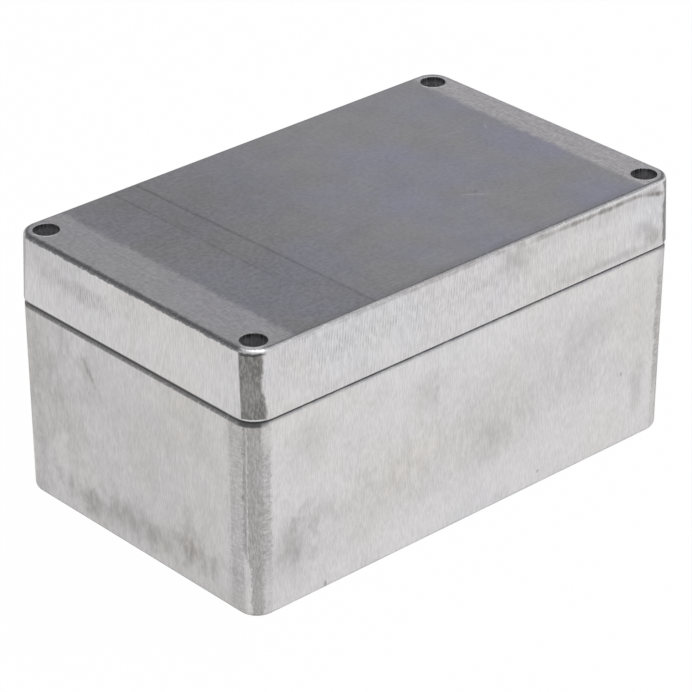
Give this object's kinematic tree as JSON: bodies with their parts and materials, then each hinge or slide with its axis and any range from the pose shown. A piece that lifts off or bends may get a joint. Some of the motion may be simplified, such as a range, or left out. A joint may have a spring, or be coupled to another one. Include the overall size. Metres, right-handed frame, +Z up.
{
  "type": "die cast enclosure",
  "caption": "Rectangular die cast aluminium box with leaning sides, a deep lid with a sealed rim, and captive screws sunk in the lid's corners.",
  "frame": {"origin": "middle of the underside", "axes": "+X along the box's length, +Y across its width towards the back, +Z up through the lid"},
  "size_m": [0.16, 0.1, 0.081],
  "materials": {
    "base_casting": "bare casting, sides ground with an upright grain",
    "lid_casting": "bare casting, darker cast top, ground sides",
    "seal_rubber": "matt black rubber",
    "screw_steel": "turned stainless steel",
    "ring_nylon": "natural nylon",
    "earth_steel": "zinc plated steel"
  },
  "bodies": {
    "base": {"base": "base_casting", "earth_screw": "earth_steel", "earth_spring_washer": "earth_steel", "earth_clamp_washer": "earth_steel"},
    "lid": {"lid": "lid_casting", "lid_gasket": "seal_rubber"},
    "front_left_ring": {"screw_ring_front_left": "ring_nylon"},
    "front_left_screw": {"lid_screw_front_left": "screw_steel"},
    "front_right_ring": {"screw_ring_front_right": "ring_nylon"},
    "front_right_screw": {"lid_screw_front_right": "screw_steel"},
    "back_left_ring": {"screw_ring_back_left": "ring_nylon"},
    "back_left_screw": {"lid_screw_back_left": "screw_steel"},
    "back_right_ring": {"screw_ring_back_right": "ring_nylon"},
    "back_right_screw": {"lid_screw_back_right": "screw_steel"}
  },
  "joints": [
    {"name": "lid_lift", "type": "slide", "parent": "base", "child": "lid", "axis": [0, 0, 1], "range_m": [0, 0.08]},
    {"name": "front_left_screw_rise", "type": "slide", "parent": "lid", "child": "front_left_ring", "axis": [0, 0, 1], "range_m": [0, 0.008]},
    {"name": "front_left_screw_turn", "type": "hinge", "parent": "front_left_ring", "child": "front_left_screw", "pos_m": [-0.073, -0.043, 0.0605], "axis": [0, 0, 1], "range_deg": [0, 4115]},
    {"name": "front_right_screw_rise", "type": "slide", "parent": "lid", "child": "front_right_ring", "axis": [0, 0, 1], "range_m": [0, 0.008]},
    {"name": "front_right_screw_turn", "type": "hinge", "parent": "front_right_ring", "child": "front_right_screw", "pos_m": [0.073, -0.043, 0.0605], "axis": [0, 0, 1], "range_deg": [0, 4115]},
    {"name": "back_left_screw_rise", "type": "slide", "parent": "lid", "child": "back_left_ring", "axis": [0, 0, 1], "range_m": [0, 0.008]},
    {"name": "back_left_screw_turn", "type": "hinge", "parent": "back_left_ring", "child": "back_left_screw", "pos_m": [-0.073, 0.043, 0.0605], "axis": [0, 0, 1], "range_deg": [0, 4115]},
    {"name": "back_right_screw_rise", "type": "slide", "parent": "lid", "child": "back_right_ring", "axis": [0, 0, 1], "range_m": [0, 0.008]},
    {"name": "back_right_screw_turn", "type": "hinge", "parent": "back_right_ring", "child": "back_right_screw", "pos_m": [0.073, 0.043, 0.0605], "axis": [0, 0, 1], "range_deg": [0, 4115]}
  ],
  "couplings": [
    {"joint": "front_left_screw_turn", "follows": "front_left_screw_rise", "rad_per_m": 8976},
    {"joint": "front_right_screw_turn", "follows": "front_right_screw_rise", "rad_per_m": 8976},
    {"joint": "back_left_screw_turn", "follows": "back_left_screw_rise", "rad_per_m": 8976},
    {"joint": "back_right_screw_turn", "follows": "back_right_screw_rise", "rad_per_m": 8976}
  ]
}
